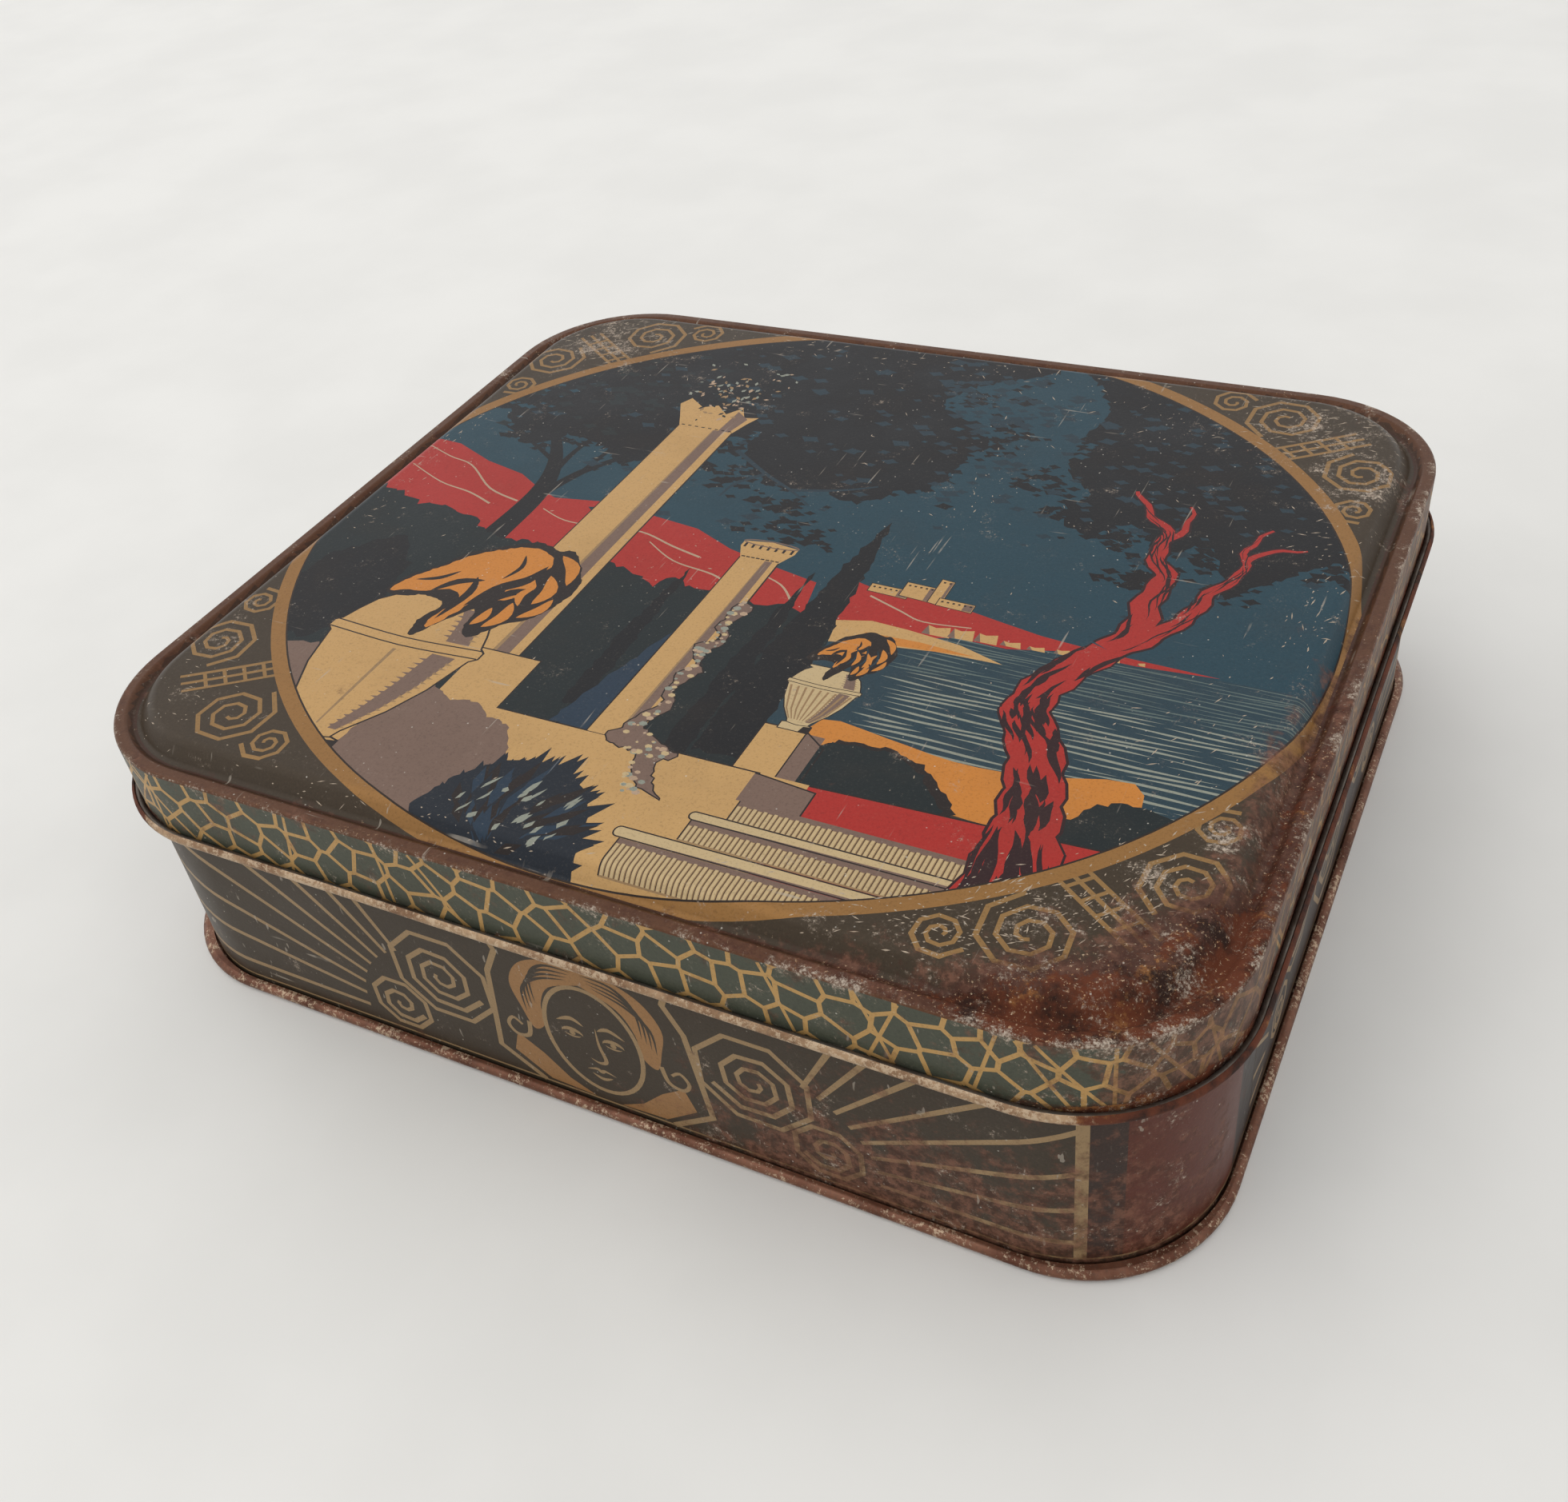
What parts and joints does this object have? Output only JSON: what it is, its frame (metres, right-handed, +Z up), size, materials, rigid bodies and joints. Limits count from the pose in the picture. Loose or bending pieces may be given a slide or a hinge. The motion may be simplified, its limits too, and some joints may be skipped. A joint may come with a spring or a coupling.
{
  "type": "cookie tin",
  "caption": "Low rectangular metal cookie tin with round corners, a lift-off slip lid with a raised panel and rolled hem, and a folded bottom edge.",
  "frame": {"origin": "on the surface the tin stands on, under the middle of the tin", "axes": "+Z up, +X along the tin's width to the right, -Y towards the front"},
  "size_m": [0.2436, 0.2136, 0.0654],
  "materials": {
    "lid_print": "printed and varnished tinplate, worn and rusted",
    "hem_wire": "rusted steel wire",
    "wall_print": "printed and varnished tinplate, rubbed and rusted",
    "base_tin": "bare tinplate with brown rust"
  },
  "bodies": {
    "tin_body": {"front_wall": "wall_print", "rear_wall": "wall_print", "base_plate": "base_tin"},
    "lid": {"lid_shell": "lid_print", "lid_hem_wire": "hem_wire"}
  },
  "joints": [
    {"name": "lid_lift", "type": "slide", "parent": "tin_body", "child": "lid", "axis": [0, 0, 1], "range_m": [0, 0.08]}
  ]
}
